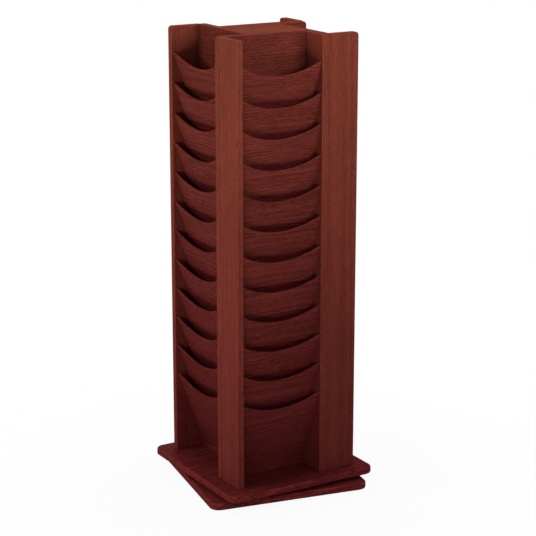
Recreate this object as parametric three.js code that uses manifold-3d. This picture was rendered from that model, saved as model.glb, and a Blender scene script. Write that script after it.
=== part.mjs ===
import * as THREE from 'three';
import { mergeVertices } from 'three/addons/utils/BufferGeometryUtils.js';
import Module from 'manifold-3d';

// A revolving wooden rack for periodicals. Four narrow racks stand in a pinwheel on a turntable
// board, which turns on a ball bearing over a base board. Millimetres and degrees, +Z up.
// The origin is the centre of the base board's underside, on the floor.

// One rack: two side boards, a back panel and a ladder of leaning pocket fronts
const pocketCount = 12;
const pocketWidth = 241.4;
const pocketPitch = 83;
const topDrop = 71;
const footRise = 15;
const rackDepth = 93;
const sideThickness = 19;
const sideCornerRadius = 10;
const backThickness = 6;
const backSetIn = 3;
const frontThickness = 6;
const frontLean = 20;
const frontInset = 4;
const scoopDepth = 35;
const grooveDepth = 6;

// The lowest fronts of each rack are made in one piece with its back panel
const frontsOnBack = 2;

// The lid that closes the hollow middle of the tower, flush with the tops of the racks
const lidThickness = 12;

// The boards under the tower
const boardOverhang = 43.5;
const boardCornerRadius = 28;
const boardEdgeRadius = 4;
const turntableThickness = 19;
const baseThickness = 19;
const baseTurn = -10;

// The bearing between the two boards
const plateSide = 152;
const plateThickness = 1.6;
const plateCornerRadius = 10;
const plateWindowRadius = 46;
const raceRadius = 60;
const raceLipWidth = 2;
const raceLipHeight = 0.7;
const ballDiameter = 4;
const ballCount = 24;
const retainerWidth = 8;
const retainerThickness = 1;

// Clearances: between pieces that sit in or on each other, and round the running balls
const fitGap = 0.3;
const runningGap = 0.1;

// Facets of the round stretches
const scoopSegments = 7;
const cornerSegments = 4;
const edgeSegments = 3;
const ringSegments = 48;
const ballSegments = 6;

// Sizes that follow from the driving dimensions
const lean = THREE.MathUtils.degToRad(frontLean);
const rackWidth = pocketWidth + 2 * sideThickness;
const backFace = rackDepth - backSetIn - backThickness;
const frontRun = (backFace - frontInset) / Math.tan(lean);
const rackHeight = topDrop + (pocketCount - 1) * pocketPitch + frontRun + footRise;
const tongue = grooveDepth - fitGap;
const panelWidth = pocketWidth + 2 * tongue;
const towerSide = rackWidth + fitGap + rackDepth;
const boardSide = towerSide + 2 * boardOverhang;
const bearingHeight = 2 * (fitGap + plateThickness + runningGap) + ballDiameter;
const turntableBottom = baseThickness + bearingHeight;
const rackBottom = turntableBottom + turntableThickness + fitGap;

const wasm = await Module();
wasm.setup();

// A closed geometry as a solid that can be joined and cut
function solid(geometry) {
  const bare = geometry.index ? geometry.toNonIndexed() : geometry.clone();
  bare.deleteAttribute('normal');
  bare.deleteAttribute('uv');
  const merged = mergeVertices(bare);
  const vertProperties = new Float32Array(merged.attributes.position.array);
  const triVerts = new Uint32Array(merged.index.array);
  return new wasm.Manifold(new wasm.Mesh({ numProp: 3, vertProperties, triVerts }));
}

// A joined or cut solid as a geometry again
function geometryOf(body) {
  const mesh = body.getMesh();
  const geometry = new THREE.BufferGeometry();
  geometry.setAttribute('position', new THREE.BufferAttribute(mesh.vertProperties, 3));
  geometry.setIndex(new THREE.BufferAttribute(mesh.triVerts, 1));
  geometry.computeVertexNormals();
  return geometry;
}

// A shape drawn in depth (y) and height (z), extruded across the rack along x
function extrudeAcross(shape, width, left) {
  const settings = { depth: width, bevelEnabled: false, curveSegments: cornerSegments };
  const geometry = new THREE.ExtrudeGeometry(shape, settings);
  const acrossBasis = new THREE.Matrix4().makeBasis(
    new THREE.Vector3(0, 1, 0),
    new THREE.Vector3(0, 0, 1),
    new THREE.Vector3(1, 0, 0),
  );
  geometry.applyMatrix4(acrossBasis);
  return geometry.translate(left, 0, 0);
}

// Height of a front's end tops above the foot of the rack, counted from the top pocket
function frontTop(index) {
  return rackHeight - topDrop - index * pocketPitch;
}

// Side view of a leaning front, from the outer top corner down to a vertical cut at the foot.
// grow widens it all round for the groove that holds it.
function frontSection(footAt, grow) {
  const thickness = frontThickness + 2 * grow;
  const outerY = frontInset - grow * Math.cos(lean) - grow * Math.sin(lean);
  const outerZ = -grow * Math.sin(lean) + grow * Math.cos(lean);
  const innerY = outerY + thickness * Math.cos(lean);
  const innerZ = outerZ + thickness * Math.sin(lean);
  const shape = new THREE.Shape();
  shape.moveTo(outerY, outerZ);
  shape.lineTo(footAt, outerZ - (footAt - outerY) / Math.tan(lean));
  shape.lineTo(footAt, innerZ - (footAt - innerY) / Math.tan(lean));
  shape.lineTo(innerY, innerZ);
  shape.closePath();
  return shape;
}

// The hollow cut out of a front's top edge: a circular arc from side board to side board
function scoopCutter() {
  const half = pocketWidth / 2;
  const radius = (half * half + scoopDepth * scoopDepth) / (2 * scoopDepth);
  const reach = Math.asin(half / radius);
  const shape = new THREE.Shape();
  shape.absarc(0, radius - scoopDepth, radius, -Math.PI / 2 - reach, -Math.PI / 2 + reach, false);
  shape.lineTo(half, scoopDepth);
  shape.lineTo(-half, scoopDepth);
  shape.closePath();
  const settings = { depth: 3 * frontThickness, bevelEnabled: false, curveSegments: scoopSegments };
  const geometry = new THREE.ExtrudeGeometry(shape, settings);
  geometry.translate(0, 0, -2 * frontThickness);
  const slopeBasis = new THREE.Matrix4().makeBasis(
    new THREE.Vector3(1, 0, 0),
    new THREE.Vector3(0, -Math.sin(lean), Math.cos(lean)),
    new THREE.Vector3(0, -Math.cos(lean), -Math.sin(lean)),
  );
  geometry.applyMatrix4(slopeBasis);
  return geometry.translate(rackWidth / 2, frontInset, 0);
}

// One pocket front, with its end tops at the given height
function pocketFront(footAt, top) {
  const left = (rackWidth - panelWidth) / 2;
  const leaning = extrudeAcross(frontSection(footAt, 0), panelWidth, left).translate(0, 0, top);
  const scoop = scoopCutter().translate(0, 0, top);
  return solid(leaning).subtract(solid(scoop));
}

// A side board, standing at x = left, with its grooves in the face at x = grooveFace
function sideBoard(left, grooveFace) {
  const outline = new THREE.Shape();
  outline.moveTo(0, 0);
  outline.lineTo(rackDepth, 0);
  outline.lineTo(rackDepth, rackHeight);
  outline.lineTo(sideCornerRadius, rackHeight);
  outline.absarc(sideCornerRadius, rackHeight - sideCornerRadius, sideCornerRadius,
    Math.PI / 2, Math.PI, false);
  outline.closePath();
  let board = solid(extrudeAcross(outline, sideThickness, left));

  const grooveLeft = grooveFace - grooveDepth;
  const section = frontSection(backFace, fitGap);
  const groove = extrudeAcross(section, 2 * grooveDepth, grooveLeft);
  for (let index = 0; index < pocketCount; index += 1) {
    board = board.subtract(solid(groove.clone().translate(0, 0, frontTop(index))));
  }

  const backGroove = new THREE.BoxGeometry(
    2 * grooveDepth,
    backThickness + 2 * fitGap,
    2 * rackHeight,
  );
  backGroove.translate(grooveFace, backFace + backThickness / 2, rackHeight / 2);
  return board.subtract(solid(backGroove));
}

// The back panel, with the lowest fronts standing on it
function backPanel() {
  const panel = new THREE.BoxGeometry(panelWidth, backThickness, rackHeight);
  panel.translate(rackWidth / 2, backFace + backThickness / 2, rackHeight / 2);
  let back = solid(panel);
  const footInBack = backFace + backThickness / 2;
  for (let index = pocketCount - frontsOnBack; index < pocketCount; index += 1) {
    back = back.add(pocketFront(footInBack, frontTop(index)));
  }
  return back;
}

// A square outline with rounded corners, centred on the origin
function roundedSquare(side, radius) {
  const reach = side / 2 - radius;
  const shape = new THREE.Shape();
  shape.absarc(reach, reach, radius, 0, Math.PI / 2, false);
  shape.absarc(-reach, reach, radius, Math.PI / 2, Math.PI, false);
  shape.absarc(-reach, -reach, radius, Math.PI, 1.5 * Math.PI, false);
  shape.absarc(reach, -reach, radius, 1.5 * Math.PI, 2 * Math.PI, false);
  shape.closePath();
  return shape;
}

// A board with rounded corners and rounded-over edges, its underside at height 0
function board(thickness) {
  const geometry = new THREE.ExtrudeGeometry(roundedSquare(boardSide, boardCornerRadius), {
    depth: thickness - 2 * boardEdgeRadius,
    bevelThickness: boardEdgeRadius,
    bevelSize: boardEdgeRadius,
    bevelOffset: -boardEdgeRadius,
    bevelSegments: edgeSegments,
    curveSegments: cornerSegments,
  });
  return geometry.translate(0, 0, boardEdgeRadius);
}

// A flat ring of rectangular section round the Z axis
function ring(inner, outer, low, high) {
  const profile = [
    new THREE.Vector2(inner, low),
    new THREE.Vector2(outer, low),
    new THREE.Vector2(outer, high),
    new THREE.Vector2(inner, high),
    new THREE.Vector2(inner, low),
  ];
  return new THREE.LatheGeometry(profile, ringSegments).rotateX(Math.PI / 2);
}

// A bearing plate with the open race pressed into it: a square plate and two low lips.
// It lies on height 0 with the lips upwards.
function bearingPlate() {
  const outline = roundedSquare(plateSide, plateCornerRadius);
  const window = new THREE.Path();
  window.absarc(0, 0, plateWindowRadius, 0, 2 * Math.PI, true);
  outline.holes.push(window);
  const settings = { depth: plateThickness, bevelEnabled: false, curveSegments: ringSegments / 4 };
  let plate = solid(new THREE.ExtrudeGeometry(outline, settings));
  const lipTop = plateThickness + raceLipHeight;
  const lipStart = ballDiameter / 2 + runningGap;
  for (const inner of [raceRadius - lipStart - raceLipWidth, raceRadius + lipStart]) {
    plate = plate.add(solid(ring(inner, inner + raceLipWidth, plateThickness / 2, lipTop)));
  }
  return plate;
}

// The balls in their retainer ring, centred on height 0
function ballCage() {
  const inner = raceRadius - retainerWidth / 2;
  const half = retainerThickness / 2;
  let cage = solid(ring(inner, inner + retainerWidth, -half, half));
  for (let index = 0; index < ballCount; index += 1) {
    const angle = (2 * Math.PI * index) / ballCount;
    const ball = new THREE.SphereGeometry(ballDiameter / 2, ballSegments, ballSegments - 2);
    ball.rotateX(Math.PI / 2);
    ball.translate(raceRadius * Math.cos(angle), raceRadius * Math.sin(angle), 0);
    cage = cage.add(solid(ball));
  }
  return cage;
}

// The lid, its underside at height 0. It is a square between the rear edges of the side boards,
// and a tab on each side reaches up to the back panel there.
function lid() {
  const edge = towerSide / 2 - rackDepth - fitGap;
  const tabEdge = edge + backSetIn;
  const tabEnd = rackWidth - sideThickness - towerSide / 2 - fitGap;
  const middle = new THREE.Vector2(0, 0);
  const corners = [];
  for (let quarter = 0; quarter < 4; quarter += 1) {
    for (const [x, y] of [[-edge, -tabEdge], [tabEnd, -tabEdge], [tabEnd, -edge]]) {
      corners.push(new THREE.Vector2(x, y).rotateAround(middle, (quarter * Math.PI) / 2));
    }
  }
  const settings = { depth: lidThickness, bevelEnabled: false };
  return new THREE.ExtrudeGeometry(new THREE.Shape(corners), settings);
}

// Finishes
const mahogany = () => new THREE.MeshStandardMaterial({ color: 0x703229, roughness: 0.42 });
const darkMahogany = () => new THREE.MeshStandardMaterial({ color: 0x5c261f, roughness: 0.45 });
const steel = () => new THREE.MeshStandardMaterial({ color: 0x9b9c9a, roughness: 0.4, metalness: 1 });

function piece(name, geometry, material) {
  const mesh = new THREE.Mesh(geometry, material);
  mesh.name = name;
  return mesh;
}

// One rack in its own frame: x across from its left edge, y back from its front edges
const leftSide = geometryOf(sideBoard(0, sideThickness));
const rightSide = geometryOf(sideBoard(rackWidth - sideThickness, rackWidth - sideThickness));
const back = geometryOf(backPanel());
const front = geometryOf(pocketFront(backFace - fitGap, 0));

function rack(name) {
  const group = new THREE.Group();
  group.add(piece(`${name}_left_side`, leftSide, mahogany()));
  group.add(piece(`${name}_right_side`, rightSide, mahogany()));
  group.add(piece(`${name}_back_panel`, back, darkMahogany()));
  for (let index = 0; index < pocketCount - frontsOnBack; index += 1) {
    const number = String(index + 1).padStart(2, '0');
    const pocket = piece(`${name}_pocket_${number}`, front, mahogany());
    pocket.position.z = frontTop(index);
    group.add(pocket);
  }
  return group;
}

const object = new THREE.Group();

// The base board and the lower bearing plate lie a little out of line with the tower
const base = new THREE.Group();
base.rotation.z = THREE.MathUtils.degToRad(baseTurn);
base.add(piece('base_board', board(baseThickness), mahogany()));
const lowerPlate = piece('bearing_lower_plate', geometryOf(bearingPlate()), steel());
lowerPlate.position.z = baseThickness + fitGap;
base.add(lowerPlate);
object.add(base);

// The balls run half way between the two plates
const cage = piece('bearing_ball_cage', geometryOf(ballCage()), steel());
cage.position.z = baseThickness + bearingHeight / 2;
object.add(cage);

// The upper plate is the lower one turned over, under the turntable board
const upperPlate = piece('bearing_upper_plate', geometryOf(bearingPlate()), steel());
upperPlate.rotation.x = Math.PI;
upperPlate.position.z = turntableBottom - fitGap;
object.add(upperPlate);

const turntable = piece('turntable_board', board(turntableThickness), mahogany());
turntable.position.z = turntableBottom;
object.add(turntable);

// Four racks in a pinwheel: each one's end covers the back edge of the next
['front_rack', 'right_rack', 'rear_rack', 'left_rack'].forEach((name, quarter) => {
  const quarterTurn = new THREE.Group();
  quarterTurn.rotation.z = (quarter * Math.PI) / 2;
  const standing = rack(name);
  standing.position.set(-towerSide / 2, -towerSide / 2, rackBottom);
  quarterTurn.add(standing);
  object.add(quarterTurn);
});

const towerLid = piece('tower_lid', lid(), mahogany());
towerLid.position.z = rackBottom + rackHeight - lidThickness;
object.add(towerLid);

export default object;
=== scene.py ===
# %% [markdown]
# # A revolving display rack
# Four tall wooden racks stand in a pinwheel on a square board, and that board turns on a ball
# bearing over a second board on the floor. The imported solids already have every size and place.
# So this lesson loads them first, and then builds each visible board where its solid is.

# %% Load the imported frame
import math
import random

import bmesh
import bpy
from mathutils import Matrix, Vector


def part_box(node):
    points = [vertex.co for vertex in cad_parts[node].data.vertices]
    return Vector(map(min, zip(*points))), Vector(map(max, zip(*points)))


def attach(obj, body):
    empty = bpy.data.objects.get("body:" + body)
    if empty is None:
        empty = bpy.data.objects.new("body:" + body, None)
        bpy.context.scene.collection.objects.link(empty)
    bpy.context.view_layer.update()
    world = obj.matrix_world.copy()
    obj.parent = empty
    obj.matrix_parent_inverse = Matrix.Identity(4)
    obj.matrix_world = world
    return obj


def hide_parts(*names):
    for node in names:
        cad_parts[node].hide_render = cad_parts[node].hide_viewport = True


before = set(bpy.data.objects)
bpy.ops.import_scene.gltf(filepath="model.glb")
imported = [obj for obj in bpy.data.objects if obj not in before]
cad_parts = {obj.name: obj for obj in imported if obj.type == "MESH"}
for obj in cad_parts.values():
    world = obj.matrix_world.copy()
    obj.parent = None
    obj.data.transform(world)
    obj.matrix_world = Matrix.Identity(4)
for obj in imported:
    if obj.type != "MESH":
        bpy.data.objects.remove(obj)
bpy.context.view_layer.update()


def metres(sizes):
    """Sizes that are short enough to print."""
    return [round(size, 4) for size in sizes]


# %% [markdown]
# ## Reading the sizes
# A joiner measures the carcass before cutting a panel for it. Here the boxes of a few solids give
# the same numbers: where the side boards stand, how wide a pocket is, and how far apart the
# pocket fronts are. Only what a box can't tell, such as a slope or a thickness, is listed.

# %% Measure one rack
RACKS = ("front_rack", "right_rack", "rear_rack", "left_rack")
left_low, left_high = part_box("front_rack_left_side")
right_low, right_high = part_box("front_rack_right_side")
first_low, first_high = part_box("front_rack_pocket_01")
second_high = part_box("front_rack_pocket_02")[1]
panel_low, panel_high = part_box("front_rack_back_panel")
pocket_nodes = [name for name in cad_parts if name.startswith("front_rack_pocket_")]
pocket_pitch = first_high.z - second_high.z
pocket_width = right_low.x - left_high.x
rack_top = left_high.z
rack_foot = left_low.z
print(len(pocket_nodes), "loose fronts, pitch and width", metres((pocket_pitch, pocket_width)), "m")

# %% Values that a box can't tell
FRONT_LEAN = math.radians(20)
FRONT_THICKNESS = 0.006
PANEL_THICKNESS = 0.006
SCOOP_DEPTH = 0.035
FIT_GAP = 0.0003
POCKETS_ON_PANEL = 2
pocket_count = len(pocket_nodes) + POCKETS_ON_PANEL
down_slope = Vector((0, math.sin(FRONT_LEAN), -math.cos(FRONT_LEAN)))
into_pocket = Vector((0, math.cos(FRONT_LEAN), math.sin(FRONT_LEAN)))
panel_face = panel_high.y - PANEL_THICKNESS
first_front_top = first_high.z - FRONT_THICKNESS * math.sin(FRONT_LEAN)
print(pocket_count, "pockets a rack, the first one's shoulders at", round(first_front_top, 4), "m")

# %% [markdown]
# ## The camera
# The photograph looks down on the rack from its left front corner with a long lens, which keeps
# the boards nearly parallel. A camera aims along its own -Z axis, so the direction to the target
# is turned into a rotation with to_track_quat instead of guessing three angles.

# %% Place the camera
CAMERA_AZIMUTH = math.radians(-30.8)
CAMERA_ELEVATION = math.radians(15.06)
CAMERA_DISTANCE = 4.80
AIM_HEIGHT = 0.602
AIM_RIGHT = 0.0158
LENS_MM = 116.3
SENSOR_MM = 36.0
aim = Vector((AIM_RIGHT * math.cos(CAMERA_AZIMUTH), AIM_RIGHT * math.sin(CAMERA_AZIMUTH), AIM_HEIGHT))
towards_camera = Vector((
    math.sin(CAMERA_AZIMUTH) * math.cos(CAMERA_ELEVATION),
    -math.cos(CAMERA_AZIMUTH) * math.cos(CAMERA_ELEVATION),
    math.sin(CAMERA_ELEVATION)))
lens = bpy.data.cameras.new("long_lens")
lens.lens = LENS_MM
lens.sensor_width = SENSOR_MM
camera = bpy.data.objects.new("camera", lens)
camera.location = aim + CAMERA_DISTANCE * towards_camera
camera.rotation_euler = (-towards_camera).to_track_quat("-Z", "Y").to_euler()
bpy.context.scene.collection.objects.link(camera)
bpy.context.scene.camera = camera
print("camera at", metres(camera.location))

# %% [markdown]
# ## Studio light
# The boards are brightest at the top and fall off towards the floor. So the main lamps hang in
# front and on the left, a little higher than the rack, and one of them has a grid, which narrows
# its beam to the upper half. The fronts lean and face a little downwards, so two boxes on the
# floor light them from below. Lamps overhead, on the right and behind make the lid and the other
# sides even. The world fills the shadows. Only what the camera and mirror-like rays see of it is
# white.

# %% Hang the lamps
OPEN_BEAM = 180


def soft_lamp(name, place, look_at, width, height, watts, beam=OPEN_BEAM):
    """A soft box. A beam under 180 degrees has a grid, which also keeps its glare off the lacquer."""
    lamp = bpy.data.lights.new(name, "AREA")
    lamp.shape = "RECTANGLE"
    lamp.size = width
    lamp.size_y = height
    lamp.energy = watts
    lamp.spread = math.radians(beam)
    holder = bpy.data.objects.new(name, lamp)
    holder.location = place
    holder.rotation_euler = (Vector(look_at) - Vector(place)).to_track_quat("-Z", "Y").to_euler()
    holder.visible_camera = False
    holder.visible_glossy = beam == OPEN_BEAM
    bpy.context.scene.collection.objects.link(holder)


soft_lamp("front_lamp", (0.35, -2.3, 1.75), (0, 0, 1.0), 1.2, 0.8, watts=7.4)
soft_lamp("front_top_lamp", (0.35, -2.3, 1.75), (0, 0, 1.6), 1.2, 0.5, watts=4.6, beam=60)
soft_lamp("corner_floor_box", (-1.3, -1.5, 0.2), (0, 0, 1.2), 1.2, 0.35, watts=3.8, beam=80)
soft_lamp("left_lamp", (-2.2, 0.4, 1.75), (0, 0, 1.0), 1.2, 0.8, watts=24.5)
soft_lamp("left_floor_box", (-1.45, 1.25, 0.2), (0, 0, 1.2), 1.4, 0.35, watts=1.8, beam=80)
soft_lamp("overhead_lamp", (0, 0.1, 2.3), (0, 0, 1.2), 0.7, 0.7, watts=9.6)
soft_lamp("right_lamp", (2.0, 0.25, 1.1), (0, 0, 0.8), 1.2, 0.8, watts=18)
soft_lamp("rear_lamp", (0.3, 2.0, 1.1), (0, 0, 0.8), 1.2, 0.8, watts=15)
print(len(bpy.data.lights), "soft lamps")

# %% Fill the shadows and whiten the background
WORLD_FILL = 0.25
WHITE = (1, 1, 1, 1)


def seen_directly(tree):
    """1 for rays that the camera or a mirror-like surface sends out, 0 for light on the object."""
    path = tree.nodes.new("ShaderNodeLightPath")
    mirror = tree.nodes.new("ShaderNodeMath")
    mirror.operation = "MAXIMUM"
    tree.links.new(path.outputs["Is Glossy Ray"], mirror.inputs[0])
    tree.links.new(path.outputs["Is Transmission Ray"], mirror.inputs[1])
    either = tree.nodes.new("ShaderNodeMath")
    either.operation = "MAXIMUM"
    tree.links.new(path.outputs["Is Camera Ray"], either.inputs[0])
    tree.links.new(mirror.outputs[0], either.inputs[1])
    return either.outputs[0]


world = bpy.data.worlds.new("white_studio")
bpy.context.scene.world = world
world.use_nodes = True
sky = world.node_tree
sky.nodes["Background"].inputs["Color"].default_value = WHITE
sky.nodes["Background"].inputs["Strength"].default_value = WORLD_FILL
white_sky = sky.nodes.new("ShaderNodeBackground")
white_sky.inputs["Color"].default_value = WHITE
white_sky.inputs["Strength"].default_value = 1.0
choose_sky = sky.nodes.new("ShaderNodeMixShader")
sky.links.new(seen_directly(sky), choose_sky.inputs["Fac"])
sky.links.new(sky.nodes["Background"].outputs[0], choose_sky.inputs[1])
sky.links.new(white_sky.outputs[0], choose_sky.inputs[2])
sky.links.new(choose_sky.outputs[0], sky.nodes["World Output"].inputs["Surface"])
bpy.context.scene.view_settings.view_transform = "Standard"
print("world fill", WORLD_FILL)

# %% [markdown]
# ## The floor
# The photograph has no horizon: the white runs on behind the rack. A floor that is lit until it is
# white would flood the rack with light from below. So this floor sends back only a little light, as
# grey paper does. What the camera sees of it is a second surface: mostly an even white glow, mixed
# close to the rack with some paper that takes its shadow.

# %% Lay the floor
FLOOR_SIZE = 60.0
floor_shape = bmesh.new()
bmesh.ops.create_grid(floor_shape, x_segments=1, y_segments=1, size=FLOOR_SIZE / 2)
floor_mesh = bpy.data.meshes.new("studio_floor")
floor_shape.to_mesh(floor_mesh)
floor_shape.free()
floor = bpy.data.objects.new("studio_floor", floor_mesh)
bpy.context.scene.collection.objects.link(floor)
print("floor", FLOOR_SIZE, "m square")

# %% Cover it with white paper
BOUNCE_GREY = (0.4, 0.4, 0.4, 1)
SHADOWED_PAPER = (0.9, 0.9, 0.9, 1)
PAPER_ROUGHNESS = 0.9
NEAR_GLOW, FAR_GLOW = 0.93, 1.0
NEAR, FAR = 0.25, 1.2
paper = bpy.data.materials.new("white_paper_floor")
paper.use_nodes = True
sheet = paper.node_tree
bounce = sheet.nodes["Principled BSDF"]
bounce.inputs["Base Color"].default_value = BOUNCE_GREY
bounce.inputs["Roughness"].default_value = PAPER_ROUGHNESS
bounce.inputs["Specular IOR Level"].default_value = 0.0
spot = sheet.nodes.new("ShaderNodeTexCoord")
away = sheet.nodes.new("ShaderNodeVectorMath")
away.operation = "LENGTH"
sheet.links.new(spot.outputs["Object"], away.inputs[0])
fade = sheet.nodes.new("ShaderNodeMapRange")
fade.interpolation_type = "SMOOTHSTEP"
for socket, amount in zip(fade.inputs[1:5], (NEAR, FAR, NEAR_GLOW, FAR_GLOW)):
    socket.default_value = amount
sheet.links.new(away.outputs["Value"], fade.inputs["Value"])
shadowed = sheet.nodes.new("ShaderNodeBsdfDiffuse")
shadowed.inputs["Color"].default_value = SHADOWED_PAPER
glow = sheet.nodes.new("ShaderNodeEmission")
shown_floor = sheet.nodes.new("ShaderNodeMixShader")
sheet.links.new(fade.outputs["Result"], shown_floor.inputs["Fac"])
sheet.links.new(shadowed.outputs[0], shown_floor.inputs[1])
sheet.links.new(glow.outputs[0], shown_floor.inputs[2])
either_floor = sheet.nodes.new("ShaderNodeMixShader")
sheet.links.new(seen_directly(sheet), either_floor.inputs["Fac"])
sheet.links.new(bounce.outputs[0], either_floor.inputs[1])
sheet.links.new(shown_floor.outputs[0], either_floor.inputs[2])
sheet.links.new(either_floor.outputs[0], sheet.nodes["Material Output"].inputs["Surface"])
floor_mesh.materials.append(paper)
print("the glow grows from", NEAR, "to", FAR, "m away")

# %% [markdown]
# ## The stained wood
# The boards are an open-grained wood under a red-brown stain and a satin lacquer. A picture of
# grain would repeat and stretch round the edges. A solid texture doesn't: it is worked out at
# every point of the board, so the same rings show as long streaks on a face and as arcs on an
# end. Each board carries its own directions in an attribute called grain: metres along, across
# and through the wood, measured from the heart of its own tree. A finish takes many nodes, so a
# few helpers that make and link one node each come first.

# %% Helpers for values and vectors
def plug(tree, value, socket):
    """Link an output to a socket, or set the socket to a plain value."""
    if isinstance(value, bpy.types.NodeSocket):
        tree.links.new(value, socket)
    else:
        socket.default_value = value


def calc(tree, operation, first, second=0.0, third=0.0):
    node = tree.nodes.new("ShaderNodeMath")
    node.operation = operation
    plug(tree, first, node.inputs[0])
    plug(tree, second, node.inputs[1])
    plug(tree, third, node.inputs[2])
    return node.outputs[0]


def spread(tree, value, low, high, new_low=0.0, new_high=1.0):
    """Stretch the range low to high onto new_low to new_high, and hold it there."""
    node = tree.nodes.new("ShaderNodeMapRange")
    for socket, amount in zip(node.inputs[:5], (value, low, high, new_low, new_high)):
        plug(tree, amount, socket)
    return node.outputs["Result"]


def join(tree, x, y, z):
    node = tree.nodes.new("ShaderNodeCombineXYZ")
    for socket, amount in zip(node.inputs, (x, y, z)):
        plug(tree, amount, socket)
    return node.outputs[0]


def split(tree, vector):
    node = tree.nodes.new("ShaderNodeSeparateXYZ")
    plug(tree, vector, node.inputs[0])
    return node.outputs[:]


def multiply(tree, first, second):
    """Multiply two vectors or colours part by part."""
    node = tree.nodes.new("ShaderNodeVectorMath")
    node.operation = "MULTIPLY"
    plug(tree, first, node.inputs[0])
    plug(tree, second, node.inputs[1])
    return node.outputs["Vector"]


print("helpers for values and vectors ready")

# %% Helpers for colours, streaks and attributes
def screen_colour(red, green, blue):
    """A colour as read off a screen, 0 to 255, as the linear values that shaders use."""
    linear = [((part / 255 + 0.055) / 1.055) ** 2.4 for part in (red, green, blue)]
    return (*linear, 1.0)


def ramp(tree, value, stops):
    node = tree.nodes.new("ShaderNodeValToRGB")
    steps = node.color_ramp.elements
    while len(steps) < len(stops):
        steps.new(0.5)
    for step, (position, colour) in zip(steps, stops):
        step.position = position
        step.color = colour
    plug(tree, value, node.inputs["Fac"])
    return node.outputs["Color"]


def streaks(tree, place, along, across, detail, roughness=0.55):
    """Noise drawn out along the grain: so many waves per metre along it and across it."""
    noise = tree.nodes.new("ShaderNodeTexNoise")
    noise.inputs["Scale"].default_value = 1.0
    noise.inputs["Detail"].default_value = detail
    noise.inputs["Roughness"].default_value = roughness
    tree.links.new(multiply(tree, place, (along, across, across)), noise.inputs["Vector"])
    return noise.outputs["Fac"]


def carried(tree, name, kind="Fac"):
    """What each point of a board carries in the attribute of that name."""
    node = tree.nodes.new("ShaderNodeAttribute")
    node.attribute_name = name
    return node.outputs[kind]


print("helpers for colours, streaks and attributes ready")

# %% Follow the grain to the heart of the tree
RING_SPACING = 0.0065
RING_SHADES = ((0.0, 0.1), (0.66, 1.0), (0.9, 0.2))
SWAY_STREAKS = (7.0, 14.0, 1.0)
DRIFT_STREAKS = (2.2, 11.0, 2.0)
DRIFT = 0.03


def swaying_grain(tree, wave):
    """Where a point lies along, across and through the grain, which sways by so many metres."""
    straight = carried(tree, "grain", "Vector")
    along, across, through = split(tree, straight)
    across = calc(tree, "MULTIPLY_ADD", streaks(tree, straight, *SWAY_STREAKS), wave, across)
    return along, across, through


def growth_rings(tree, place, across, through):
    """The light and dark of each year's ring, by the distance from the heart."""
    drift = calc(tree, "MULTIPLY_ADD", streaks(tree, place, *DRIFT_STREAKS), DRIFT, across)
    radius = tree.nodes.new("ShaderNodeVectorMath")
    radius.operation = "LENGTH"
    tree.links.new(join(tree, 0.0, drift, through), radius.inputs[0])
    age = calc(tree, "FRACT", calc(tree, "DIVIDE", radius.outputs["Value"], RING_SPACING))
    return ramp(tree, age, [(year, (shade, shade, shade, 1)) for year, shade in RING_SHADES])


print("rings", RING_SPACING, "m apart")

# %% Draw the figure and the pores
WIDE_STREAKS = (1.5, 36.0, 2.0)
NARROW_STREAKS = (22.0, 190.0, 3.0)
FINE_STREAKS = (85.0, 460.0, 3.0, 0.65)
PORE_STREAKS = (100.0, 1300.0, 1.0)
RING_SHARE, WIDE_SHARE, NARROW_SHARE, FINE_SHARE = 0.12, 0.14, 0.32, 0.48
FIGURE_RANGE = (0.36, 0.72)
PORE_RANGE = (0.58, 0.68)


def wood_figure(tree, place, ring, fine):
    """Rings and three widths of streak added up, from 0 in the darkest wood to 1."""
    figure = calc(tree, "MULTIPLY", ring, RING_SHARE)
    for layer, share in ((streaks(tree, place, *WIDE_STREAKS), WIDE_SHARE),
                         (streaks(tree, place, *NARROW_STREAKS), NARROW_SHARE),
                         (fine, FINE_SHARE)):
        figure = calc(tree, "MULTIPLY_ADD", layer, share, figure)
    return spread(tree, figure, *FIGURE_RANGE)


def open_pores(tree, place):
    return spread(tree, streaks(tree, place, *PORE_STREAKS), *PORE_RANGE)


print("pore streaks about", round(1000 / PORE_STREAKS[1], 2), "mm apart")

# %% [markdown]
# ## Painted light and shade in the stain
# The stain is drawn a warmer brown high up and a deeper red near the floor: this paints the light
# on the top and the shade at the foot. So the share of green in the colour grows with the height.
# Inside the pockets the wood is in shade. An attribute marks those faces, and there the stain is
# painted darker and redder as shade. Another one, called arris, marks the edges where the stain is
# worn lighter; on the two foot boards it is stronger and also paints a highlight.

# %% Paint shade and light into the stain, and wear its edges
BLOTCHES = (5.0, 7.0, 2.0)
BLOTCH_RANGE = (0.3, 0.7)
BLOTCH_TONES = (0.92, 1.07)
PORE_TONE = 0.62
# Painted shade: how much darker and redder the faces marked as in shade are drawn.
PAINTED_SHADE_TONE = 0.72
PAINTED_SHADE_GREEN = 0.75
RUB_RANGE = (0.35, 0.65)
RUB_TONES = (0.02, 0.18)
# Painted light and shade: between these heights the green share grows, from the deep red of the shaded
# foot to the warmer brown of the lit top.
LIGHT_SHIFT_FROM, LIGHT_SHIFT_TO = 0.05, 1.25


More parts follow.
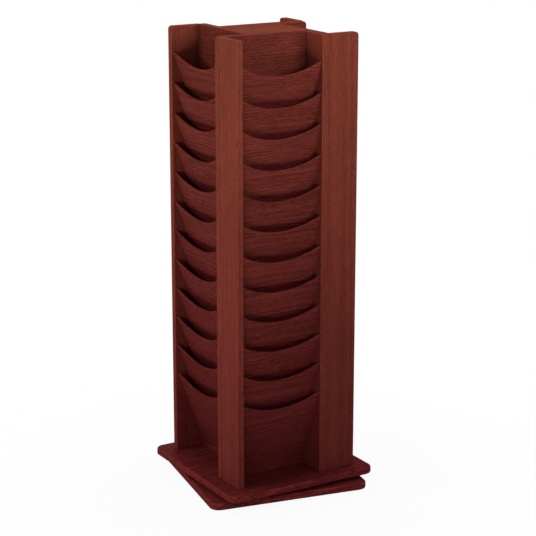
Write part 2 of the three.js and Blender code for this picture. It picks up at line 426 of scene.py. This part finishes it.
def stain_tone(tree, place, fine, pores, painted_shade):
    """How light the stain is at each point, with painted shade on faces marked as in shade and lighter
    marked edges.
    """
    tone = spread(tree, streaks(tree, place, *BLOTCHES), *BLOTCH_RANGE, *BLOTCH_TONES)
    tone = calc(tree, "MULTIPLY", tone, carried(tree, "stain"))
    tone = calc(tree, "MULTIPLY", tone, spread(tree, pores, 0.0, 1.0, 1.0, PORE_TONE))
    # Painted shade: darker where a face is marked as in shade.
    tone = calc(tree, "MULTIPLY", tone, spread(tree, painted_shade, 0.0, 1.0, 1.0, PAINTED_SHADE_TONE))
    # Worn edges are lighter; on the foot boards the mark is stronger and also paints a highlight.
    rub_and_highlight = spread(tree, fine, *RUB_RANGE, *RUB_TONES)
    rub_and_highlight = calc(tree, "MULTIPLY", carried(tree, "arris"), rub_and_highlight)
    return calc(tree, "MULTIPLY_ADD", tone, rub_and_highlight, tone)


def painted_light_warmth(tree, painted_shade, green_in_foot_shade, green_in_top_light):
    """A factor for red, green and blue, whose green grows with the height as painted light and shade,
    and drops where shade is painted.
    """
    height = split(tree, tree.nodes.new("ShaderNodeTexCoord").outputs["Object"])[2]
    green = spread(tree, height, LIGHT_SHIFT_FROM, LIGHT_SHIFT_TO, green_in_foot_shade, green_in_top_light)
    green = calc(tree, "MULTIPLY", green, spread(tree, painted_shade, 0.0, 1.0, 1.0, PAINTED_SHADE_GREEN))
    return join(tree, 1.0, green, 1.0)


# The green share of the painted light and shade changes between these heights.
print("the stain fades from", LIGHT_SHIFT_FROM, "to", LIGHT_SHIFT_TO, "m above the floor")

# %% [markdown]
# ## The lacquer and the three finishes
# The lacquer is thin and satin. It follows the open pores, so these are rougher and lie a little
# deeper than the rest. The thick boards, the thin panels and the two boards at the foot took the
# stain differently. One recipe with other colours and another sway of the grain makes all three.

# %% Coat the wood
SATIN = 0.50
FINE_ROUGHNESS = 0.16
PORE_ROUGHNESS = 0.12
COAT_WEIGHT = 0.02
COAT_ROUGHNESS = 0.38
FINE_RELIEF = 0.5
RELIEF_STRENGTH = 0.35
RELIEF_HEIGHT = 0.0004


def satin_lacquer(tree, shader, fine, pores):
    gloss = calc(tree, "MULTIPLY_ADD", fine, FINE_ROUGHNESS, SATIN)
    gloss = calc(tree, "MULTIPLY_ADD", pores, PORE_ROUGHNESS, gloss)
    tree.links.new(gloss, shader.inputs["Roughness"])
    shader.inputs["Specular IOR Level"].default_value = 0.0
    shader.inputs["Coat Weight"].default_value = COAT_WEIGHT
    shader.inputs["Coat Roughness"].default_value = COAT_ROUGHNESS
    relief = calc(tree, "MULTIPLY_ADD", pores, -1.0, calc(tree, "MULTIPLY", fine, FINE_RELIEF))
    bump = tree.nodes.new("ShaderNodeBump")
    bump.inputs["Strength"].default_value = RELIEF_STRENGTH
    bump.inputs["Distance"].default_value = RELIEF_HEIGHT
    tree.links.new(relief, bump.inputs["Height"])
    tree.links.new(bump.outputs[0], shader.inputs["Normal"])


print("lacquer roughness from", SATIN)

# %% Mix the wood finishes
FIGURE_STOPS = (0.0, 0.4, 0.7, 1.0)


def stained_wood(name, colours, wave, green_in_foot_shade, green_in_top_light):
    """Wood in four colours, with its sway in metres and its share of green in the painted shade at the
    foot and the painted light at the top.
    """
    wood = bpy.data.materials.new(name)
    wood.use_nodes = True
    tree = wood.node_tree
    shader = tree.nodes["Principled BSDF"]
    along, across, through = swaying_grain(tree, wave)
    place = join(tree, along, across, through)
    fine = streaks(tree, place, *FINE_STREAKS)
    pores = open_pores(tree, place)
    painted_shade = carried(tree, "painted_shade")
    figure = wood_figure(tree, place, growth_rings(tree, place, across, through), fine)
    stops = [(stop, screen_colour(*colour)) for stop, colour in zip(FIGURE_STOPS, colours)]
    # Painted light and shade: the green share follows the height.
    painted_warmth = painted_light_warmth(tree, painted_shade, green_in_foot_shade, green_in_top_light)
    tint = tree.nodes.new("ShaderNodeVectorMath")
    tint.operation = "SCALE"
    tree.links.new(multiply(tree, ramp(tree, figure, stops), painted_warmth), tint.inputs[0])
    tree.links.new(stain_tone(tree, place, fine, pores, painted_shade), tint.inputs["Scale"])
    tree.links.new(tint.outputs[0], shader.inputs["Base Color"])
    satin_lacquer(tree, shader, fine, pores)
    return wood


board_wood = stained_wood(
    "stained_solid_wood", ((97, 37, 32), (114, 49, 40), (123, 55, 45), (132, 62, 50)),
    wave=0.003, green_in_foot_shade=0.90, green_in_top_light=1.19)
panel_wood = stained_wood(
    "stained_panel_wood", ((77, 28, 26), (103, 42, 36), (117, 50, 43), (134, 61, 51)),
    wave=0.014, green_in_foot_shade=0.80, green_in_top_light=1.12)
foot_wood = stained_wood(
    "deep_stained_wood", ((60, 20, 18), (98, 39, 34), (117, 50, 42), (146, 67, 56)),
    wave=0.008, green_in_foot_shade=0.78, green_in_top_light=1.19)
print("three wood finishes with", len(board_wood.node_tree.nodes), "nodes each")

# %% [markdown]
# ## From a bmesh to a finished piece
# Every board is shaped as a bmesh, which is Blender's editable mesh in code. Before it becomes an
# object it gets its grain directions, so the rack to the right of the front one has its own
# planks and not the same ones turned round. Smooth shading with weighted normals keeps the big
# faces flat and lets only the eased edges roll over.

# %% Finish a piece
SHARP_ANGLE = math.radians(35)
PLANK_SEED = 1219
PLACE_IN_TREE = (0, 30)
ASIDE_OF_HEART = (-0.14, 0.14)
DEPTH_FROM_HEART = (0.05, 0.15)
PLANK_TONES = (0.97, 1.03)
planks = random.Random(PLANK_SEED)


def lay_grain(shape, along, across, brightness=1.0):
    """Store how far each corner of the board lies along, across and through its grain."""
    grain = shape.verts.layers.float_vector.new("grain")
    stain = shape.verts.layers.float.new("stain")
    through = along.cross(across)
    reaches = (PLACE_IN_TREE, ASIDE_OF_HEART, DEPTH_FROM_HEART)
    heart = Vector([planks.uniform(*reach) for reach in reaches])
    tone = brightness * planks.uniform(*PLANK_TONES)
    middle = sum((corner.co for corner in shape.verts), Vector()) / len(shape.verts)
    for corner in shape.verts:
        offset = corner.co - middle
        corner[grain] = heart + Vector((offset.dot(along), offset.dot(across), offset.dot(through)))
        corner[stain] = tone


def add_piece(shape, name, finish, body, slot, *nodes):
    """Turn a bmesh into an object that rides on a body and stands for its solids."""
    open_edges = sum(not edge.is_manifold for edge in shape.edges)
    mesh = bpy.data.meshes.new(name)
    shape.to_mesh(mesh)
    shape.free()
    mesh.shade_smooth()
    mesh.set_sharp_from_angle(angle=SHARP_ANGLE)
    mesh.materials.append(finish)
    piece = bpy.data.objects.new(name, mesh)
    bpy.context.scene.collection.objects.link(piece)
    even = piece.modifiers.new("even_shading", "WEIGHTED_NORMAL")
    even.keep_sharp = True
    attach(piece, body)
    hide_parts(*nodes)
    if open_edges:
        print("open edges on", name, open_edges)


print("planks are drawn with seed", PLANK_SEED)

# %% Helpers to shape a board
TOUCH = 1e-5


def block(shape, low, high):
    """A cube stretched between two corners."""
    low, high = Vector(low), Vector(high)
    size = Matrix.Diagonal((*(high - low), 1.0))
    bmesh.ops.create_cube(shape, size=1.0, matrix=Matrix.Translation((low + high) / 2) @ size)


def round_edges(shape, edges, radius, segments, handled=True):
    """Bevel some edges. Those that hands touch are marked, because their stain wears off."""
    mark = shape.faces.layers.float.get("arris") or shape.faces.layers.float.new("arris")
    rounded = bmesh.ops.bevel(
        shape, geom=edges, offset=radius, segments=segments, profile=0.5,
        affect="EDGES", material=-1, clamp_overlap=True)["faces"]
    for face in rounded:
        face[mark] = float(handled)


def sharp_edges(shape):
    return [edge for edge in shape.edges if edge.calc_face_angle(0) > SHARP_ANGLE]


def edges_at_height(shape, height):
    return [edge for edge in shape.edges if all(abs(v.co.z - height) < TOUCH for v in edge.verts)]


def new_corners(made):
    """The vertices among what an extrude operator gives back."""
    return [part for part in made["geom"] if isinstance(part, bmesh.types.BMVert)]


print("points closer than", TOUCH, "m count as touching")

# %% [markdown]
# ## The two square boards
# The board on the floor and the turntable over it are cut alike: a square with well-rounded
# corners, and every edge rounded over with a router. Two bevels do the same. The first rounds the
# four upright corners, and the second runs round the top and bottom outline. The rims are marked as
# worn, and their upright faces more strongly: partly stain worn off by shoes and brooms, partly a
# painted highlight where they catch the light from the front. The board on the floor is a little out
# of line with the tower, because the tower has been turned.

# %% Cut the base board and the turntable
CORNER_RADIUS = 0.028
CORNER_STEPS = 12
ROUND_OVER = 0.004
ROUND_OVER_STEPS = 5
LEVEL = 0.9
EDGE_RUB_AND_HIGHLIGHT = 3.5
BASE_TURN = math.radians(-10)
board_low, board_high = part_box("turntable_board")


def square_board(node, turn):
    """A board like the turntable, turned and lifted to where the node is."""
    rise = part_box(node)[0].z - board_low.z
    shape = bmesh.new()
    block(shape, board_low, board_high)
    upright = [edge for edge in shape.edges if abs(edge.verts[0].co.z - edge.verts[1].co.z) > TOUCH]
    round_edges(shape, upright, CORNER_RADIUS, CORNER_STEPS, handled=False)
    round_edges(shape, sharp_edges(shape), ROUND_OVER, ROUND_OVER_STEPS)
    # Painted highlight: the upright faces get a stronger mark, which lightens them partly as worn
    # stain and partly as light caught from the front.
    rub_and_highlight_layer = shape.faces.layers.float["arris"]
    for face in shape.faces:
        if abs(face.normal.z) < LEVEL:
            face[rub_and_highlight_layer] = EDGE_RUB_AND_HIGHLIGHT
    lay_grain(shape, Vector((1, 0, 0)), Vector((0, 1, 0)))
    bmesh.ops.rotate(shape, verts=shape.verts, cent=(0, 0, 0), matrix=Matrix.Rotation(turn, 3, "Z"))
    bmesh.ops.translate(shape, verts=shape.verts, vec=(0, 0, rise))
    return shape


add_piece(square_board("base_board", BASE_TURN), "floor_board", foot_wood,
          "base", "stained_boards", "base_board")
add_piece(square_board("turntable_board", 0.0), "turning_board", foot_wood,
          "tower", "stained_boards", "turntable_board")
print("two boards", metres(board_high - board_low))

# %% [markdown]
# ## The lid
# A flat lid closes the hollow middle of the tower, flush with the tops of the racks. It is a
# square that fits between the side boards, and on each side a shallow tab reaches up to the back
# panel. One flat face with eight corners is enough to start: its four long edges are pulled out
# for the tabs, the sheet is drawn down to its thickness, and the top outline is eased.

# %% Fit the lid between the racks
LID_EASE = 0.0008
LID_EASE_STEPS = 2
lid_low, lid_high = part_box("tower_lid")
lid_edge = -left_high.y - FIT_GAP
tab_end = right_low.x - FIT_GAP
shape = bmesh.new()
quarters = [Matrix.Rotation(quarter * math.pi / 2, 3, "Z") for quarter in range(4)]
outline = [shape.verts.new(turn @ Vector((x, -lid_edge, lid_high.z)))
           for turn in quarters for x in (-lid_edge, tab_end)]
shape.faces.new(outline)
long_edges = [edge for edge in shape.edges if edge.calc_length() > lid_edge]
for edge in long_edges:
    outwards = (edge.verts[0].co + edge.verts[1].co) / 2
    side = max(range(2), key=lambda axis: abs(outwards[axis]))
    step = Vector((0, 0, 0))
    step[side] = math.copysign(lid_high.x - lid_edge, outwards[side])
    tab = new_corners(bmesh.ops.extrude_edge_only(shape, edges=[edge]))
    bmesh.ops.translate(shape, verts=tab, vec=step)
bmesh.ops.dissolve_faces(shape, faces=shape.faces[:])
under = new_corners(bmesh.ops.extrude_face_region(shape, geom=shape.faces[:]))
bmesh.ops.translate(shape, verts=under, vec=(0, 0, lid_low.z - lid_high.z))
bmesh.ops.recalc_face_normals(shape, faces=shape.faces)
round_edges(shape, edges_at_height(shape, lid_high.z), LID_EASE, LID_EASE_STEPS)
lay_grain(shape, Vector((1, 0, 0)), Vector((0, 1, 0)))
add_piece(shape, "lid_board", board_wood, "tower", "stained_boards", "tower_lid")
print("lid", metres(lid_high - lid_low))

# %% [markdown]
# ## The side boards
# Each rack has two upright boards with the top front corner rounded off and all edges eased. On
# the inside they have twelve slanted grooves that stop short of the front edge, and one long
# groove for the back panel. The grooves are cut with a Boolean, just as a router would cut them:
# one cutter holds all thirteen strips, and Exact with self intersection copes with their overlap.
# Where a cut runs through an eased edge it can leave points that nearly coincide, so these are
# welded. The inner faces are marked for part of the painted shade of the pockets, so their stain is
# drawn darker and redder.

# %% Make a cutter for the grooves
GROOVE_DEPTH = 0.006
CLEAR = 0.004
front_setback = first_low.y
groove_run = (panel_face - front_setback) / math.sin(FRONT_LEAN)


def groove_cutter(inner_face, inwards):
    """Thirteen strips that reach GROOVE_DEPTH into a side board from its inner face."""
    shape = bmesh.new()
    deep, clear = inner_face - inwards * GROOVE_DEPTH, inner_face + inwards * CLEAR
    middle, width = (deep + clear) / 2, abs(clear - deep)
    lean = Matrix.Rotation(FRONT_LEAN, 4, "X")
    for pocket in range(pocket_count):
        top = Vector((middle, front_setback, first_front_top - pocket * pocket_pitch))
        centre = top + into_pocket * FRONT_THICKNESS / 2 + down_slope * (groove_run - FIT_GAP) / 2
        size = Matrix.Diagonal((width, FRONT_THICKNESS + 2 * FIT_GAP, groove_run + FIT_GAP, 1.0))
        bmesh.ops.create_cube(shape, size=1.0, matrix=Matrix.Translation(centre) @ lean @ size)
    block(shape, (middle - width / 2, panel_face - FIT_GAP, rack_foot - CLEAR),
          (middle + width / 2, panel_high.y + FIT_GAP, rack_top + CLEAR))
    return shape


print("a slanted groove runs", round(groove_run, 4), "m")

# %% Shape a board and cut its grooves
TOP_CORNER_RADIUS = 0.010
TOP_CORNER_STEPS = 8
EASED_EDGE = 0.0015
EASED_STEPS = 4
WELD = 2e-6
# Painted shade: the share of it that the inner faces carry.
INNER_PAINTED_SHADE = 0.4


def temporary_object(shape, name):
    mesh = bpy.data.meshes.new(name)
    shape.to_mesh(mesh)
    shape.free()
    made = bpy.data.objects.new(name, mesh)
    bpy.context.scene.collection.objects.link(made)
    return made


def side_board(low, high, inner_face, inwards):
    shape = bmesh.new()
    block(shape, low, high)
    corner = [edge for edge in edges_at_height(shape, high.z)
              if all(v.co.y < low.y + TOUCH for v in edge.verts)]
    round_edges(shape, corner, TOP_CORNER_RADIUS, TOP_CORNER_STEPS, handled=False)
    round_edges(shape, sharp_edges(shape), EASED_EDGE, EASED_STEPS)
    blank = temporary_object(shape, "board_blank")
    cutter = temporary_object(groove_cutter(inner_face, inwards), "groove_cutter")
    cut = blank.modifiers.new("grooves", "BOOLEAN")
    cut.operation = "DIFFERENCE"
    cut.solver = "EXACT"
    cut.use_self = True
    cut.object = cutter
    grooved = bpy.data.meshes.new_from_object(
        blank.evaluated_get(bpy.context.evaluated_depsgraph_get()))
    finished = bmesh.new()
    finished.from_mesh(grooved)
    bmesh.ops.remove_doubles(finished, verts=finished.verts, dist=WELD)
    bmesh.ops.dissolve_degenerate(finished, dist=WELD, edges=finished.edges)
    for spare in (blank, cutter):
        bpy.data.objects.remove(spare)
    # Painted shade: the inner faces are drawn partly darker and redder.
    painted_shade = finished.faces.layers.float.new("painted_shade")
    for face in finished.faces:
        if abs(face.calc_center_median().x - inner_face) < TOUCH:
            face[painted_shade] = INNER_PAINTED_SHADE
    return finished


left_shape = side_board(left_low, left_high, left_high.x, 1)
right_shape = side_board(right_low, right_high, right_low.x, -1)
print("grooved side boards with", len(left_shape.faces), "and", len(right_shape.faces), "faces")

# %% Stand the eight side boards in place
def quarter_turn(shape, rack):
    """Turn a piece of the front rack about the tower's axis to the place of another rack."""
    turn = Matrix.Rotation(RACKS.index(rack) * math.pi / 2, 3, "Z")
    bmesh.ops.rotate(shape, verts=shape.verts, cent=(0, 0, 0), matrix=turn)


for rack in RACKS:
    for side, pattern in (("left", left_shape), ("right", right_shape)):
        shape = pattern.copy()
        lay_grain(shape, Vector((0, 0, 1)), Vector((0, 1, 0)))
        quarter_turn(shape, rack)
        add_piece(shape, f"{rack}_{side}_board", board_wood, "tower", "stained_boards",
                  f"{rack}_{side}_side")
left_shape.free()
right_shape.free()
print("eight side boards,", round(rack_top - rack_foot, 4), "m tall")

# %% [markdown]
# ## The back panels
# A thin panel closes each rack behind, with its two long edges in the grooves of the side boards
# and its top flush with them. Only the top edge is touched by hands, so only that one is eased.

# %% Slide in the four back panels
PANEL_EASE = 0.0008
PANEL_EASE_STEPS = 2
BACK_TONE = 0.80

for rack in RACKS:
    shape = bmesh.new()
    block(shape, (panel_low.x, panel_face, panel_low.z), panel_high)
    round_edges(shape, edges_at_height(shape, panel_high.z), PANEL_EASE, PANEL_EASE_STEPS)
    lay_grain(shape, Vector((1, 0, 0)), Vector((0, 0, 1)), BACK_TONE)
    quarter_turn(shape, rack)
    add_piece(shape, f"{rack}_back", panel_wood, "tower", "stained_panels", f"{rack}_back_panel")
print("four back panels", round(panel_high.x - panel_low.x, 4), "m wide")

# %% [markdown]
# ## The pocket fronts
# A pocket front is a thin board that leans out at the top, with a long scoop in its top edge. Its
# outline is one arc, so a single vertex is spun about the centre of that arc. The chain of edges is
# drawn down the slope to the foot, the sheet gets its thickness, and the scooped edge is rounded. A
# cut with a plane then trims the foot upright against the back panel. The next front shades the
# lower half, up to a level line, so a few level cuts let a mark of painted shade begin there. No
# front stands before the lowest one, so that one has no painted shade.

# %% Spin the outline of a front and draw it down
SCOOP_STEPS = 28
FOOT_SPARE = 0.020
scoop_radius = (pocket_width ** 2 / 4 + SCOOP_DEPTH ** 2) / (2 * SCOOP_DEPTH)
scoop_angle = 2 * math.asin(pocket_width / 2 / scoop_radius)


def pocket_front(shoulder_height):
    """A front with square edges, which reaches FOOT_SPARE further down than it should."""
    shape = bmesh.new()
    start = Vector((left_high.x, front_setback, shoulder_height))
    centre = start + Vector((pocket_width / 2, 0, 0)) - down_slope * (scoop_radius - SCOOP_DEPTH)
    first = shape.verts.new(start)
    bmesh.ops.spin(shape, geom=[first], cent=centre, axis=into_pocket, angle=-scoop_angle,
                   steps=SCOOP_STEPS, use_merge=False)
    ends = sorted(shape.verts, key=lambda v: v.co.x)
    for end, tongue in ((ends[0], first_low.x), (ends[-1], first_high.x)):
        made = bmesh.ops.extrude_vert_indiv(shape, verts=[end])["verts"]
        made[0].co.x = tongue
    for corner in new_corners(bmesh.ops.extrude_edge_only(shape, edges=shape.edges[:])):
        corner.co += down_slope * (groove_run + FOOT_SPARE - (corner.co - start).dot(down_slope))
    back = new_corners(bmesh.ops.extrude_face_region(shape, geom=shape.faces[:]))
    bmesh.ops.translate(shape, verts=back, vec=into_pocket * FRONT_THICKNESS)
    bmesh.ops.recalc_face_normals(shape, faces=shape.faces)
    return shape


pattern_front = pocket_front(first_front_top)
print("scoop radius", round(scoop_radius, 4), "m")

# %% Round the rim and trim the foot
SCOOP_ROUND = 0.0022
SCOOP_ROUND_STEPS = 4
RISES, LIES = 0.5, 0.1


def rim_edges(shape):
    """The edges where the upward rim of a front meets its two broad faces."""
    chosen = []
    for edge in shape.edges:
        rises = [-face.normal.dot(down_slope) for face in edge.link_faces]
        runs_along = abs(edge.verts[0].co.x - edge.verts[1].co.x) > TOUCH
        if max(rises) > RISES and min(rises) < LIES and runs_along:
            chosen.append(edge)
    return chosen


def plane_cut(shape, point, normal, clear_outer=False):
    everything = shape.verts[:] + shape.edges[:] + shape.faces[:]
    bmesh.ops.bisect_plane(shape, geom=everything, plane_co=point, plane_no=normal,
                           clear_outer=clear_outer)


def trim_foot(shape):
    plane_cut(shape, (0, panel_face - FIT_GAP, 0), (0, 1, 0), clear_outer=True)
    rim = [edge for edge in shape.edges if edge.is_boundary]
    bmesh.ops.holes_fill(shape, edges=rim, sides=0)
    bmesh.ops.recalc_face_normals(shape, faces=shape.faces)


round_edges(pattern_front, rim_edges(pattern_front), SCOOP_ROUND, SCOOP_ROUND_STEPS)
trim_foot(pattern_front)
print("rounded front with", len(pattern_front.faces), "faces")

# %% Mark the fronts where shade is painted
# Painted shade: below a level line under the shoulders, which the next front shades, the stain is
# drawn darker and redder.
SHADE_LINE_DEPTH = 0.096
SHADE_BLEND_HEIGHT = 0.006
SHADE_BLEND_STEPS = 3
shade_line = first_front_top - SHADE_LINE_DEPTH

for step in range(SHADE_BLEND_STEPS + 1):
    level = shade_line - step * SHADE_BLEND_HEIGHT / SHADE_BLEND_STEPS
    plane_cut(pattern_front, (0, 0, level), (0, 0, 1))
painted_shade = pattern_front.faces.layers.float.new("painted_shade")
for face in pattern_front.faces:
    below = shade_line - face.calc_center_median().z
    face[painted_shade] = min(max(below / SHADE_BLEND_HEIGHT, 0.0), 1.0)
print("daylight ends", SHADE_LINE_DEPTH, "m under the shoulders")

# %% Set the forty-eight fronts in their grooves
FRONT_TONE = 0.86


# The lowest front stands in no other front's shade, so its painted shade is cleared.
def clear_painted_shade(shape):
    painted_shade = shape.faces.layers.float["painted_shade"]
    for face in shape.faces:
        face[painted_shade] = 0.0


for rack in RACKS:
    for pocket in range(pocket_count):
        shape = pattern_front.copy()
        if pocket == pocket_count - 1:
            clear_painted_shade(shape)
        bmesh.ops.translate(shape, verts=shape.verts, vec=(0, 0, -pocket * pocket_pitch))
        lay_grain(shape, Vector((1, 0, 0)), down_slope, FRONT_TONE)
        quarter_turn(shape, rack)
        loose = pocket < len(pocket_nodes)
        node = f"{rack}_pocket_{pocket + 1:02d}" if loose else f"{rack}_back_panel"
        add_piece(shape, f"{rack}_front_{pocket + 1:02d}", panel_wood, "tower", "stained_panels", node)
pattern_front.free()
print(len(RACKS) * pocket_count, "pocket fronts")

# %% [markdown]
# ## The bearing
# Two pressed plates with a ring of balls between them carry the tower. They sit far back in the
# narrow gap and are zinc plated, so they only catch a glint. The plates keep their solids. The
# balls and their retainer are made again from round shapes, because the solids are faceted.

# %% Mix the zinc plating
ZINC_CLOUDS = (60.0, 60.0, 4.0)
CLOUD_RANGE = (0.3, 0.7)
DULL_ZINC, BRIGHT_ZINC = (150, 152, 150), (196, 197, 192)
SCRATCHES = (900.0, 40.0, 2.0)
ZINC_ROUGHNESS = 0.22
SCRATCH_ROUGHNESS = 0.3
zinc = bpy.data.materials.new("zinc_plated_steel")
zinc.use_nodes = True
plating = zinc.node_tree
metal = plating.nodes["Principled BSDF"]
where = plating.nodes.new("ShaderNodeTexCoord").outputs["Object"]
cloudy = spread(plating, streaks(plating, where, *ZINC_CLOUDS), *CLOUD_RANGE)
scratched = streaks(plating, where, *SCRATCHES)
dull_to_bright = ((0.0, screen_colour(*DULL_ZINC)), (1.0, screen_colour(*BRIGHT_ZINC)))
dullness = calc(plating, "MULTIPLY_ADD", scratched, SCRATCH_ROUGHNESS, ZINC_ROUGHNESS)
plating.links.new(ramp(plating, cloudy, dull_to_bright), metal.inputs["Base Color"])
plating.links.new(dullness, metal.inputs["Roughness"])
metal.inputs["Metallic"].default_value = 1.0
for node in ("bearing_lower_plate", "bearing_upper_plate"):
    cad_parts[node].data.materials.clear()
    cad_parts[node].data.materials.append(zinc)
print("zinc on both plates")

# %% Set the balls in their retainer
BALL_COUNT = 24
BALL_DIAMETER = 0.004
BALL_MERIDIANS, BALL_RINGS = 16, 10
RACE_RADIUS = 0.060
RETAINER_THICKNESS = 0.001
RETAINER_WIDTH = 0.008
RETAINER_STEPS = 96
cage_low, cage_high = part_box("bearing_ball_cage")
cage_height = (cage_low.z + cage_high.z) / 2
half_width, half_thickness = RETAINER_WIDTH / 2, RETAINER_THICKNESS / 2
shape = bmesh.new()
strip = [shape.verts.new((RACE_RADIUS + half_width * x, 0, cage_height + half_thickness * z))
         for x, z in ((-1, -1), (1, -1), (1, 1), (-1, 1))]
outline = shape.faces.new(strip)
loop = list(outline.edges)
shape.faces.remove(outline)
bmesh.ops.spin(shape, geom=loop, cent=(0, 0, 0), axis=(0, 0, 1), angle=2 * math.pi,
               steps=RETAINER_STEPS, use_merge=True)
for ball in range(BALL_COUNT):
    turn = Matrix.Rotation(2 * math.pi * ball / BALL_COUNT, 4, "Z")
    place = turn @ Matrix.Translation((RACE_RADIUS, 0, cage_height))
    bmesh.ops.create_uvsphere(shape, u_segments=BALL_MERIDIANS, v_segments=BALL_RINGS,
                              radius=BALL_DIAMETER / 2, matrix=place)
bmesh.ops.remove_doubles(shape, verts=shape.verts, dist=WELD)
bmesh.ops.recalc_face_normals(shape, faces=shape.faces)
add_piece(shape, "balls_in_retainer", zinc, "ball_cage", "bearing_steel", "bearing_ball_cage")
print(BALL_COUNT, "balls on a radius of", RACE_RADIUS, "m")
